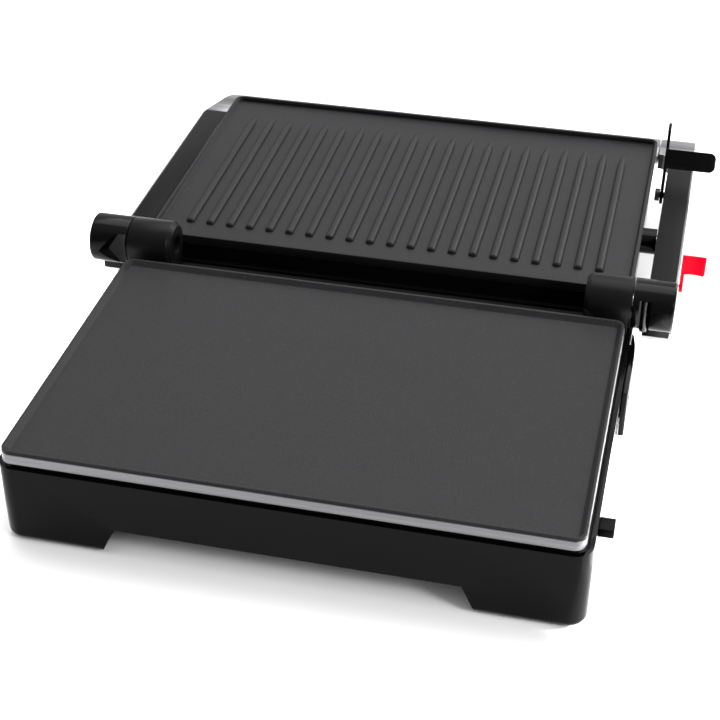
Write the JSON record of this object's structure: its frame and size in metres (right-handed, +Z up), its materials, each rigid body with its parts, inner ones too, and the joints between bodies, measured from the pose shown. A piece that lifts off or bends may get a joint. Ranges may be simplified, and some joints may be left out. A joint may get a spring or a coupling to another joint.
{
  "type": "panini press",
  "caption": "Two-plate contact grill that opens flat, with a floating ribbed lid, a flat griddle, a latch, a release lever and a drip tray.",
  "frame": {"origin": "on the table, under the middle of the lower plate, in the plane of the base's standing rim less the feet's 1 mm", "axes": "+X to the right, +Y from the front of the base over the hinge to the handle of the opened lid, +Z up"},
  "size_m": [0.3681, 0.4575, 0.0814],
  "materials": {
    "housing_black": "glossy black moulding",
    "inner_black": "matt black moulding",
    "hinge_black": "satin black moulding",
    "arm_black": "fine-grained black moulding",
    "tray_black": "glossy black moulding",
    "brushed_trim": "brushed stainless steel sheet",
    "brushed_handle": "brushed steel finish",
    "griddle": "cast aluminium with a dark non-stick coat",
    "heat_pan_steel": "bright plated sheet",
    "element_steel": "oxidised steel sheath",
    "sensor": "plated brass and ceramic",
    "rubber": "matt rubber",
    "fastener": "zinc-plated steel",
    "pin_steel": "ground steel",
    "latch_black": "matt black glass-filled moulding",
    "release_red": "glossy red moulding",
    "lamp": "tinted lens"
  },
  "bodies": {
    "base": {"base_housing": "housing_black", "rubber_feet": "rubber", "base_bottom_cover": "inner_black", "base_cover_screws": "fastener", "base_deck": "inner_black", "lower_trim_band": "brushed_trim", "lower_griddle_plate": "griddle", "lower_heat_pan": "heat_pan_steel", "lower_heating_element": "element_steel", "lower_element_clamps": "heat_pan_steel", "lower_thermostat": "sensor", "lower_plate_screws": "fastener", "thermal_fuse": "sensor", "hinge_bracket_right": "hinge_black", "hinge_bracket_left": "hinge_black", "hinge_bracket_screws": "fastener", "hinge_pin_right": "pin_steel", "hinge_pin_left": "pin_steel", "latch_catch": "latch_black", "cord_inlet": "rubber"},
    "drip_tray": {"drip_tray": "tray_black"},
    "handle_frame": {"arm_knuckle_right": "hinge_black", "arm_knuckle_left": "hinge_black", "knuckle_stop": "pin_steel", "arm_liner_right": "arm_black", "arm_liner_left": "arm_black", "arm_skin_right": "brushed_trim", "arm_skin_left": "brushed_trim", "handle_bar": "brushed_handle", "handle_cap_right": "brushed_handle", "handle_cap_left": "brushed_handle", "handle_cap_screws": "fastener", "lock_lever_screw": "fastener", "release_spring": "pin_steel"},
    "lid": {"lid_housing": "housing_black", "lid_cover": "brushed_trim", "lid_deck": "inner_black", "lid_pivot_pin_right": "pin_steel", "lid_pivot_pin_left": "pin_steel", "upper_trim_band": "inner_black", "upper_ribbed_plate": "griddle", "upper_heat_pan": "heat_pan_steel", "upper_heating_element": "element_steel", "upper_element_clamps": "heat_pan_steel", "upper_thermostat": "sensor", "upper_plate_screws": "fastener", "indicator_lenses": "lamp"},
    "lock_lever": {"lock_lever": "latch_black"},
    "release_lever": {"release_lever": "release_red", "release_pin": "pin_steel", "release_pawl": "pin_steel"}
  },
  "joints": [
    {"name": "arm_fold", "type": "hinge", "parent": "base", "child": "handle_frame", "pos_m": [0, 0.1158, 0.0602], "axis": [-1, 0, 0], "range_deg": [-180, 0]},
    {"name": "lid_float", "type": "hinge", "parent": "handle_frame", "child": "lid", "pos_m": [0, 0.2316, 0.034], "axis": [1, 0, 0], "range_deg": [0, 15]},
    {"name": "lock_lever_turn", "type": "hinge", "parent": "handle_frame", "child": "lock_lever", "pos_m": [0.1575, 0.2904, 0.036], "axis": [-1, 0, 0], "range_deg": [0, 22]},
    {"name": "release_lever_turn", "type": "hinge", "parent": "handle_frame", "child": "release_lever", "pos_m": [0.1781, 0.1778, 0.0365], "axis": [-1, 0, 0], "range_deg": [0, 15], "stiffness_Nm_per_rad": 0.05, "springref_deg": -8.59},
    {"name": "drip_tray_slide", "type": "slide", "parent": "base", "child": "drip_tray", "axis": [1, 0, 0], "range_m": [0, 0.122]}
  ]
}
